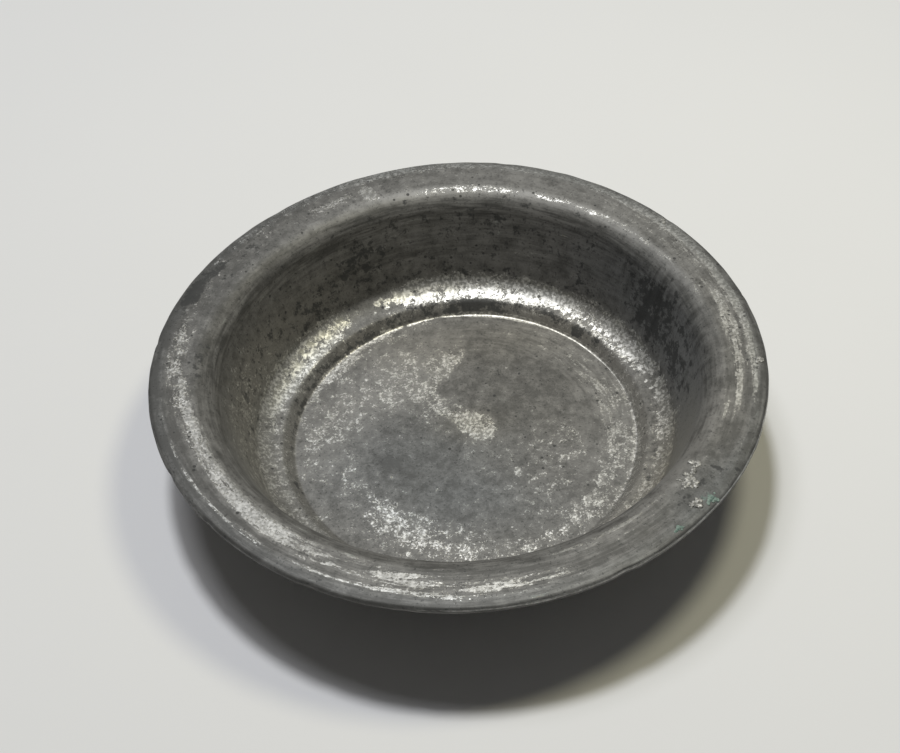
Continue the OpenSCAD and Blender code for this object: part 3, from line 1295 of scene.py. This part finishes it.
@dataclass(frozen=True)
class BareCopper:
    """Copper browned by age, rubbed along arcs where it rests."""

    name: str = "bare_copper"
    brown: Colour = (0.120, 0.062, 0.040)
    red: Colour = (0.330, 0.150, 0.085)
    rubbed: Colour = (0.50, 0.27, 0.17)
    black: Colour = (0.030, 0.024, 0.021)
    tin: Colour = (0.240, 0.235, 0.220)
    green: Colour = (0.200, 0.330, 0.270)
    rough: float = 0.48
    salt_rough: float = 0.85
    metal: float = 0.85
    cloud_noise: Layer = Layer(32.0, 6.0, 0.62, 0.4)
    cloud_ramp: Ramp = Ramp(0.38, 0.62)
    cloud_rough: float = 0.5
    speck_noise: Layer = Layer(300.0, 6.0, 0.68)
    smoke_noise: Layer = Layer(75.0, 5.0, 0.65)
    smoke_ramp: Ramp = Ramp(0.52, 0.68, 0.85)
    scratches: Turning = Turning(14.0, 1400.0, 4.0, 0.62)
    scratch_ramp: Ramp = Ramp(0.55, 0.7, 0.45)
    tin_gain: float = 3.2
    tin_ramp: Ramp = Ramp(0.55, 0.75)
    salt_gain: float = 3.0
    salt_ramp: Ramp = Ramp(0.7, 1.0)
    salt_cover: float = 0.8
    scratch_relief: float = 0.4
    speck_relief: float = 0.5
    relief_depth: float = 0.00012
    relief_strength: float = 0.5

    def material(self) -> bpy.types.Material:
        """Builds the finish.

        Returns:
            The material.
        """
        g = Graph(self.name)
        place = g.place()
        cloud = g.noise(place, self.cloud_noise)
        speck = g.noise(place, self.speck_noise)
        colour = g.tint(g.rise(cloud, self.cloud_ramp), self.brown, self.red)
        smoke = g.rise(g.noise(place, self.smoke_noise), self.smoke_ramp)
        colour = g.tint(smoke, colour, self.black)
        scratch = g.turned_noise(place, g.attribute("run"), self.scratches)
        colour = g.tint(g.rise(scratch, self.scratch_ramp), colour, self.rubbed)
        film = g.math("ADD", g.attribute("bright"), g.around_zero(speck, self.tin_gain))
        colour = g.tint(g.rise(film, self.tin_ramp), colour, self.tin)
        salts = g.math("ADD", g.attribute("green"), g.around_zero(speck, self.salt_gain))
        salts = g.rise(salts, self.salt_ramp)
        colour = g.tint(g.math("MULTIPLY", salts, self.salt_cover), colour, self.green)
        g.dress("Base Color", colour)
        rough = g.math("ADD", g.around_zero(cloud, self.cloud_rough), self.rough)
        g.dress("Roughness", g.blend(salts, rough, self.salt_rough))
        g.dress("Metallic", g.blend(salts, self.metal, 0.0))
        specked = g.math("MULTIPLY", speck, self.speck_relief)
        relief = g.math("MULTIPLY_ADD", scratch, self.scratch_relief, specked)
        g.bump(relief, self.relief_depth, self.relief_strength)
        return g.material


@dataclass(frozen=True)
class Grit:
    """A rough, grainy surface, dark in the hollows between its grains."""

    name: str
    deep: Colour
    pale: Colour
    grain: Layer
    colour_ramp: Ramp
    least_rough: float
    grain_rough: float
    metal_ramp: Ramp | None
    relief: Layer
    relief_depth: float
    relief_strength: float = 0.6

    def material(self) -> bpy.types.Material:
        """Builds the finish.

        Returns:
            The material.
        """
        g = Graph(self.name)
        place = g.place()
        grain = g.noise(place, self.grain)
        g.dress("Base Color", g.tint(g.rise(grain, self.colour_ramp), self.deep, self.pale))
        g.dress("Roughness", g.math("MULTIPLY_ADD", grain, self.grain_rough, self.least_rough))
        if self.metal_ramp is not None:
            g.dress("Metallic", g.rise(grain, self.metal_ramp))
        g.bump(g.noise(place, self.relief), self.relief_depth, self.relief_strength)
        return g.material


BLISTERED_TIN = Grit(
    name="blistered_tin",
    deep=(0.130, 0.128, 0.118),
    pale=(0.470, 0.463, 0.435),
    grain=Layer(620.0, 5.0, 0.62),
    colour_ramp=Ramp(0.40, 0.60),
    least_rough=0.4,
    grain_rough=0.3,
    metal_ramp=Ramp(0.45, 0.7),
    relief=Layer(2200.0, 3.0, 0.6),
    relief_depth=0.0001,
)
VERDIGRIS = Grit(
    name="verdigris",
    deep=(0.105, 0.165, 0.140),
    pale=(0.240, 0.310, 0.270),
    grain=Layer(700.0, 5.0, 0.6),
    colour_ramp=Ramp(0.36, 0.62),
    least_rough=0.75,
    grain_rough=0.2,
    metal_ramp=None,
    relief=Layer(2500.0, 3.0, 0.6),
    relief_depth=0.00008,
)


@dataclass(frozen=True)
class PalePaper:
    """The studio's matt paper."""

    name: str = "pale_paper"
    white: Colour = (0.800, 0.798, 0.790)
    shaded: float = 0.97
    mottle: Layer = Layer(6.0, 3.0, 0.5)
    rough: float = 0.9
    gloss: float = 0.2

    def material(self) -> bpy.types.Material:
        """Builds the finish.

        Returns:
            The material.
        """
        g = Graph(self.name)
        shade = tuple(self.shaded * channel for channel in self.white)
        g.dress("Base Color", g.tint(g.noise(g.place(), self.mottle), self.white, shade))
        g.dress("Roughness", self.rough)
        g.dress("Specular IOR Level", self.gloss)
        return g.material


# ---------------------------------------------------------------- the bowl's pieces


@dataclass(frozen=True)
class Row:
    """One ring of points of a skin: its place in the section and its run."""

    radius: float
    height: float
    run: float


def rows_of(face: Face, start_run: float = 0.0) -> list[Row]:
    """Returns a face's rows from a run outwards."""
    keep = face.run >= start_run - SAME_RUN
    return [Row(*values) for values in zip(face.radius[keep], face.height[keep], face.run[keep])]


def place_piece(name: str, mesh: bpy.types.Mesh) -> bpy.types.Object:
    """Stands a smooth mesh in the scene.

    Args:
        name: The new object's name.
        mesh: Its mesh.

    Returns:
        The new object.
    """
    mesh.polygons.foreach_set("use_smooth", [True] * len(mesh.polygons))
    piece = bpy.data.objects.new(name, mesh)
    bpy.context.scene.collection.objects.link(piece)
    return piece


@dataclass
class Skin:
    """A closed solid swept round the axis from a loop of rows, then worked by hand."""

    name: str
    work: HandWork
    wear: WearAndLightMap
    turns: int

    def build(self, rows: list[Row], with_poles: bool) -> bpy.types.Object:
        """Makes the mesh and stores its wear and painted light.

        Args:
            rows: The rings in order, so that each face looks outwards.
            with_poles: Whether the first and last rows are single points on the axis.

        Returns:
            The new object.
        """
        run = np.repeat([row.run for row in rows], self.turns)
        radius = np.repeat([row.radius for row in rows], self.turns)
        height = np.repeat([row.height for row in rows], self.turns)
        around = np.tile(np.arange(self.turns) * 360.0 / self.turns, len(rows))
        blister = self.wear.field_of(Tone.BLISTER, run, around)
        moved = self.work.displace(run, around, blister)
        angle = np.radians(around)
        x = (radius + moved[:, 0]) * np.cos(angle) + moved[:, 1]
        y = (radius + moved[:, 0]) * np.sin(angle) + moved[:, 2]
        z = height + moved[:, 3]
        points = np.stack([x, y, z], axis=1) * MM
        mesh = bpy.data.meshes.new(self.name)
        mesh.from_pydata(points.tolist(), [], self.faces(len(rows), with_poles))
        self.store(mesh, "run", run * MM)
        for tone in Tone:
            self.store(mesh, tone.value, self.wear.field_of(tone, run, around))
        self.drop_loose(mesh)
        return place_piece(self.name, mesh)

    def faces(self, count: int, with_poles: bool) -> list[tuple[int, ...]]:
        """Joins the rings' points into faces.

        Args:
            count: How many rings there are.
            with_poles: Whether the first and last rings are single points on the axis.

        Returns:
            Each face's points, by number.
        """
        grid = np.arange(count * self.turns).reshape(count, self.turns)
        if with_poles:
            grid[0, :], grid[-1, :] = grid[0, 0], grid[-1, 0]
        faces: list[tuple[int, ...]] = []
        for i in range(count - 1 if with_poles else count):
            here, there = grid[i], grid[(i + 1) % count]
            for j in range(self.turns):
                k = (j + 1) % self.turns
                ring = (here[j], there[j], there[k], here[k])
                faces.append(tuple(dict.fromkeys(int(n) for n in ring)))
        return faces

    @staticmethod
    def drop_loose(mesh: bpy.types.Mesh) -> None:
        """Takes away the points that no face uses.

        Args:
            mesh: The mesh to clean.
        """
        shape = bmesh.new()
        shape.from_mesh(mesh)
        loose = [vert for vert in shape.verts if not vert.link_faces]
        bmesh.ops.delete(shape, geom=loose, context="VERTS")
        shape.to_mesh(mesh)
        shape.free()
        mesh.update()

    @staticmethod
    def store(mesh: bpy.types.Mesh, label: str, values: Array) -> None:
        """Stores one number per point on the mesh."""
        layer = mesh.attributes.new(label, "FLOAT", "POINT")
        layer.data.foreach_set("value", np.ascontiguousarray(values, dtype=np.float32))


@dataclass
class TinLining:
    """The tin over the whole inside and the top of the brim."""

    section: Section
    work: HandWork
    turns: int = 480
    rows_seen: int = 150
    rows_hidden: int = 30
    dulling: float = -0.95

    def build(self, finish: OldTin) -> bpy.types.Object:
        """Builds and dresses the lining.

        Args:
            finish: The tin's finish.

        Returns:
            The piece.
        """
        wear = WearAndLightMap(lining_patches(), {Tone.BRIGHT: self.dulling})
        top = rows_of(self.section.face(0.0, self.rows_seen))
        under = rows_of(self.section.face(self.section.tin, self.rows_hidden))
        skin = Skin("tin_lining_skin", self.work, wear, self.turns)
        piece = skin.build(top + under[::-1], with_poles=True)
        self.dress(piece, finish)
        return piece

    def dress(self, piece: bpy.types.Object, finish: OldTin) -> None:
        """Finishes the lining, hangs it on the body and hides the imported part that it replaces.

        Args:
            piece: The lining's mesh in the scene.
            finish: What it is made of.
        """
        piece.data.materials.append(finish.material())
        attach(piece, BODY)
        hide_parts("tin_lining")


@dataclass
class CopperShell:
    """The raised sheet itself, seen on the worn underside."""

    section: Section
    work: HandWork
    turns: int = 480
    rows_seen: int = 110
    rows_hidden: int = 50

    def build(self, finish: BareCopper) -> bpy.types.Object:
        """Builds and dresses the sheet.

        Args:
            finish: The copper's finish.

        Returns:
            The piece.
        """
        wear = WearAndLightMap(underside_patches())
        depth = self.section.tin
        top = rows_of(self.section.face(depth, self.rows_hidden))
        under = rows_of(self.section.face(depth + self.section.sheet, self.rows_seen))
        skin = Skin("copper_sheet", self.work, wear, self.turns)
        piece = skin.build(top + under[::-1], with_poles=True)
        self.dress(piece, finish)
        return piece

    def dress(self, piece: bpy.types.Object, finish: BareCopper) -> None:
        """Finishes the sheet, hangs it on the body and hides the imported part that it replaces.

        Args:
            piece: The sheet's mesh in the scene.
            finish: What it is made of.
        """
        piece.data.materials.append(finish.material())
        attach(piece, BODY)
        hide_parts("copper_shell")


@dataclass
class OuterTinning:
    """The tin on the outside and round the edge, worn through at the foot."""

    section: Section
    work: HandWork
    turns: int = 480
    rows_seen: int = 150
    rows_hidden: int = 40
    dulling: float = -0.9
    staining: float = 0.12
    edge_bend: float = 4.0
    edge_swell: float = 0.25
    edge_steps: int = 6

    def build(self, finish: OldTin) -> bpy.types.Object:
        """Builds and dresses the outer tin.

        Args:
            finish: The tin's finish.

        Returns:
            The piece.
        """
        wear = WearAndLightMap(outer_patches(), {Tone.BRIGHT: self.dulling, Tone.STAIN_AND_SHADE: self.staining})
        sheet_face = self.section.tin + self.section.sheet
        outer_face = sheet_face + self.section.tin
        start = self.section.run_to(2)
        outside = rows_of(self.section.face(outer_face, self.rows_seen), start)
        inside = rows_of(self.section.face(sheet_face, self.rows_hidden), start)
        top = self.section.face(0.0, self.rows_hidden)
        edge = Row(top.radius[-1], top.height[-1], top.run[-1])
        rows = inside + self.edge_rows(edge, outside[-1]) + outside[::-1]
        skin = Skin("outer_tin_skin", self.work, wear, self.turns)
        piece = skin.build(rows, with_poles=False)
        self.dress(piece, finish)
        return piece

    def dress(self, piece: bpy.types.Object, finish: OldTin) -> None:
        """Finishes the outer tin, hangs it on the body and hides the imported part that it replaces.

        Args:
            piece: The outer tin's mesh in the scene.
            finish: What it is made of.
        """
        piece.data.materials.append(finish.material())
        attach(piece, BODY)
        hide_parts("outer_tinning")

    def edge_rows(self, upper: Row, lower: Row) -> list[Row]:
        """Rounds the edge over from the inner face to the outer face.

        Args:
            upper: The edge of the inner face.
            lower: The edge of the outer face.

        Returns:
            The rows in order, without the lower one.
        """
        fall = math.radians(self.section.edge_fall)
        rows = []
        for k in range(self.edge_steps):
            share = k / self.edge_steps
            swell = self.section.tin * min(1.0, self.edge_bend * share)
            swell += self.edge_swell * math.sin(math.pi * share)
            radius = upper.radius + share * (lower.radius - upper.radius) + swell * math.cos(fall)
            height = upper.height + share * (lower.height - upper.height) - swell * math.sin(fall)
            rows.append(Row(radius, height, upper.run))
        return rows


@dataclass(frozen=True)
class CrustSpot:
    """Where a crust sits on the brim, how far it spreads and how many grains it has."""

    azimuth: float
    run: float
    spread: float
    lumps: int


@dataclass
class Crust:
    """Low uneven grains that have grown through the tin of the brim."""

    section: Section
    work: HandWork
    name: str
    slot: str
    seed: int
    widths: tuple[float, float]
    flatness: float
    spots: tuple[CrustSpot, ...]
    scatter_across: float = 0.4
    scatter_round: float = 0.5
    clear_of_edge: float = 2.6
    stretch: tuple[float, float] = (0.7, 1.5)
    unevenness: float = 0.10
    knobs: tuple[int, float] = (6, 3.0)

    def build(self, finish: Grit) -> bpy.types.Object:
        """Builds and dresses the crust.

        Args:
            finish: The grains' finish.

        Returns:
            The piece.
        """
        draw = np.random.default_rng(self.seed)
        face = self.section.face(0.0, FINE_ROWS)
        last_run = face.run[-1] - self.clear_of_edge
        shape = bmesh.new()
        for spot in self.spots:
            for _ in range(spot.lumps):
                run = min(spot.run + draw.normal() * spot.spread * self.scatter_across, last_run)
                sideways = draw.normal() * spot.spread * self.scatter_round
                azimuth = spot.azimuth + math.degrees(sideways / self.section.brim_radius)
                self.add_grain(shape, draw, self.point_on(face, run, azimuth))
        mesh = bpy.data.meshes.new(self.name)
        shape.to_mesh(mesh)
        shape.free()
        mesh.transform(Matrix.Scale(MM, 4))
        piece = place_piece(self.name, mesh)
        self.dress(piece, finish)
        return piece

    def dress(self, piece: bpy.types.Object, finish: Grit) -> None:
        """Finishes the crust and hangs it on the body.

        Args:
            piece: The crust's mesh in the scene.
            finish: What it is made of.
        """
        piece.data.materials.append(finish.material())
        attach(piece, BODY)

    def point_on(self, face: Face, run: float, azimuth: float) -> Vector:
        """Finds a point on the worked surface.

        Args:
            face: The face that the crust sits on.
            run: The point's run, in millimetres.
            azimuth: The point's azimuth, in degrees.

        Returns:
            The point, in millimetres.
        """
        moved = self.work.displace(np.array([run]), np.array([azimuth]), np.array([0.0]))[0]
        radius = np.interp(run, face.run, face.radius) + moved[0]
        height = np.interp(run, face.run, face.height) + moved[3]
        angle = math.radians(azimuth)
        return Vector((radius * math.cos(angle) + moved[1], radius * math.sin(angle) + moved[2], height))

    def add_grain(self, shape: bmesh.types.BMesh, draw: np.random.Generator, middle: Vector) -> None:
        """Adds one flattened, uneven grain.

        Args:
            shape: The mesh to add to.
            draw: The seeded source of chance.
            middle: The grain's middle, in millimetres.
        """
        width = draw.uniform(*self.widths)
        grown = bmesh.ops.create_icosphere(shape, subdivisions=3, radius=1.0)["verts"]
        stretch = draw.uniform(*self.stretch)
        turn = draw.uniform(0.0, math.pi)
        count, pitch = self.knobs
        waves = draw.normal(size=(count, 3)) * pitch
        for vert in grown:
            swell = 1.0 + self.unevenness * sum(math.sin(vert.co.dot(Vector(wave))) for wave in waves)
            x, y, z = vert.co * swell
            east = width * (x * stretch * math.cos(turn) - y * math.sin(turn))
            north = width * (x * stretch * math.sin(turn) + y * math.cos(turn))
            vert.co = middle + Vector((east, north, self.flatness * z * width ** 0.5))


def tin_blisters(section: Section, work: HandWork) -> Crust:
    """Describes the grey blisters where the tin has lifted off the copper.

    Args:
        section: The bowl's section.
        work: The hand work that the blisters follow.

    Returns:
        The blisters, not yet built.
    """
    spots = (
        CrustSpot(-41.2, 156.6, 4.0, 50),
        CrustSpot(-36.4, 153.6, 2.4, 16),
        CrustSpot(-38.6, 155.5, 1.6, 5),
        CrustSpot(-44.4, 166.0, 2.2, 20),
        CrustSpot(38.0, 168.5, 1.6, 7),
        CrustSpot(-6.0, 169.0, 1.8, 12),
    )
    return Crust(section, work, "tin_blisters", "lining_tin", 9, (0.40, 1.25), 0.50, spots)


def verdigris_crust(section: Section, work: HandWork) -> Crust:
    """Describes the green salts that have grown through the tin near the edge.

    Args:
        section: The bowl's section.
        work: The hand work that the salts follow.

    Returns:
        The crust, not yet built.
    """
    spots = (
        CrustSpot(-41.9, 169.4, 2.2, 22),
        CrustSpot(-50.8, 169.0, 1.7, 12),
    )
    return Crust(section, work, "verdigris_crust", "copper", 5, (0.35, 0.95), 0.22, spots)


# ---------------------------------------------------------------- studio


@dataclass(frozen=True)
class Lamp:
    """A round soft light that looks at the bowl."""

    name: str
    place: tuple[float, float, float]
    width: float
    power: float
    colour: Colour

    def build(self, target: Vector) -> None:
        """Hangs the lamp and points it.

        Args:
            target: What the lamp looks at.
        """
        data = bpy.data.lights.new(self.name, "AREA")
        data.shape = "DISK"
        data.size = self.width
        data.energy = self.power
        data.color = self.colour
        lamp = bpy.data.objects.new(self.name, data)
        lamp.location = self.place
        lamp.rotation_euler = (target - Vector(self.place)).to_track_quat("-Z", "Y").to_euler()
        bpy.context.scene.collection.objects.link(lamp)


@dataclass
class Studio:
    """The paper, the lamps, the sky and the camera."""

    half_floor: float = 6.0
    lamp_aim: tuple[float, float, float] = (0.0, 0.0, 0.03)
    ambient: float = 0.075
    ambient_colour: Colour = (1.0, 0.985, 0.965)
    backdrop: float = 0.62
    camera_place: tuple[float, float, float] = (0.0, -0.5085, 0.5791)
    camera_aim: tuple[float, float, float] = (-0.0042, -0.0064, 0.0500)
    camera_roll: float = -4.055
    lens: float = 64.0
    sensor: float = 36.0
    nearest: float = 0.01
    lamps: tuple[Lamp, ...] = (
        Lamp("main_lamp", (-0.190, 0.620, 2.800), 0.35, 38.0, (0.940, 0.960, 1.0)),
        Lamp("side_lamp", (-0.560, 0.640, 2.700), 0.70, 16.0, (0.940, 0.950, 1.0)),
        Lamp("warm_lamp", (0.314, 0.127, 0.933), 0.21, 2.5, (1.0, 0.955, 0.70)),
    )

    def build(self, paper: PalePaper) -> None:
        """Sets up the whole studio.

        Args:
            paper: The floor's finish.
        """
        self.lay_floor(paper)
        self.light_sky()
        for lamp in self.lamps:
            lamp.build(Vector(self.lamp_aim))
        self.set_camera()
        bpy.context.scene.view_settings.view_transform = "Standard"
        bpy.context.scene.view_settings.look = "None"

    def lay_floor(self, paper: PalePaper) -> None:
        """Lays the paper under the bowl.

        Args:
            paper: The floor's finish.
        """
        half = self.half_floor
        mesh = bpy.data.meshes.new("paper_floor")
        corners = [(-half, -half, 0.0), (half, -half, 0.0), (half, half, 0.0), (-half, half, 0.0)]
        mesh.from_pydata(corners, [], [(0, 1, 2, 3)])
        floor = bpy.data.objects.new("paper_floor", mesh)
        bpy.context.scene.collection.objects.link(floor)
        floor.data.materials.append(paper.material())
        floor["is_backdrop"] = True

    def light_sky(self) -> None:
        """Gives a low even light, and a pale backdrop where the camera looks past the floor."""
        world = bpy.data.worlds.new("studio_sky")
        bpy.context.scene.world = world
        world.use_nodes = True
        tree = world.node_tree
        tree.nodes.clear()
        output = tree.nodes.new("ShaderNodeOutputWorld")
        low = tree.nodes.new("ShaderNodeBackground")
        low.inputs["Color"].default_value = (*self.ambient_colour, 1.0)
        low.inputs["Strength"].default_value = self.ambient
        seen = tree.nodes.new("ShaderNodeBackground")
        seen.inputs["Strength"].default_value = self.backdrop
        path = tree.nodes.new("ShaderNodeLightPath")
        mix = tree.nodes.new("ShaderNodeMixShader")
        tree.links.new(path.outputs["Is Camera Ray"], mix.inputs[0])
        tree.links.new(low.outputs[0], mix.inputs[1])
        tree.links.new(seen.outputs[0], mix.inputs[2])
        tree.links.new(mix.outputs[0], output.inputs["Surface"])

    def set_camera(self) -> None:
        """Stands the camera where the bowl is seen from above its front."""
        data = bpy.data.cameras.new("studio_camera")
        data.lens = self.lens
        data.sensor_width = self.sensor
        data.clip_start = self.nearest
        camera = bpy.data.objects.new("studio_camera", data)
        place, aim = Vector(self.camera_place), Vector(self.camera_aim)
        level = (aim - place).to_track_quat("-Z", "Y").to_matrix().to_4x4()
        tilt = Matrix.Rotation(math.radians(self.camera_roll), 4, "Z")
        camera.matrix_world = Matrix.Translation(place) @ level @ tilt
        bpy.context.scene.collection.objects.link(camera)
        bpy.context.scene.camera = camera


# ---------------------------------------------------------------- the whole bowl


def report(piece: bpy.types.Object) -> None:
    """Logs a piece's name and how fine its mesh is."""
    LOG.info("%s: %d points, %d faces", piece.name, len(piece.data.vertices), len(piece.data.polygons))


def main() -> None:
    """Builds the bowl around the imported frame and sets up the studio."""
    logging.basicConfig(level=logging.INFO, format="%(name)s: %(message)s")
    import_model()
    cad_box = [list(corner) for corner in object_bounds()]
    low, high = cad_box
    section = Section(brim_radius=(high[0] - low[0]) / 2 / MM, bowl_height=high[2] / MM)
    work = HandWork(section)
    report(TinLining(section, work).build(OldTin("lining_tin")))
    report(CopperShell(section, work).build(BareCopper()))
    # Painted shade: the outer tin is a darker copy of the lining's tin, for the shaded outside, and it
    # also dims the light thrown into the shadow under the bowl.
    report(OuterTinning(section, work).build(OldTin("outer_tin", light=(0.190, 0.187, 0.176))))
    report(tin_blisters(section, work).build(BLISTERED_TIN))
    report(verdigris_crust(section, work).build(VERDIGRIS))
    Studio().build(PalePaper())


if __name__ == "__main__":
    main()
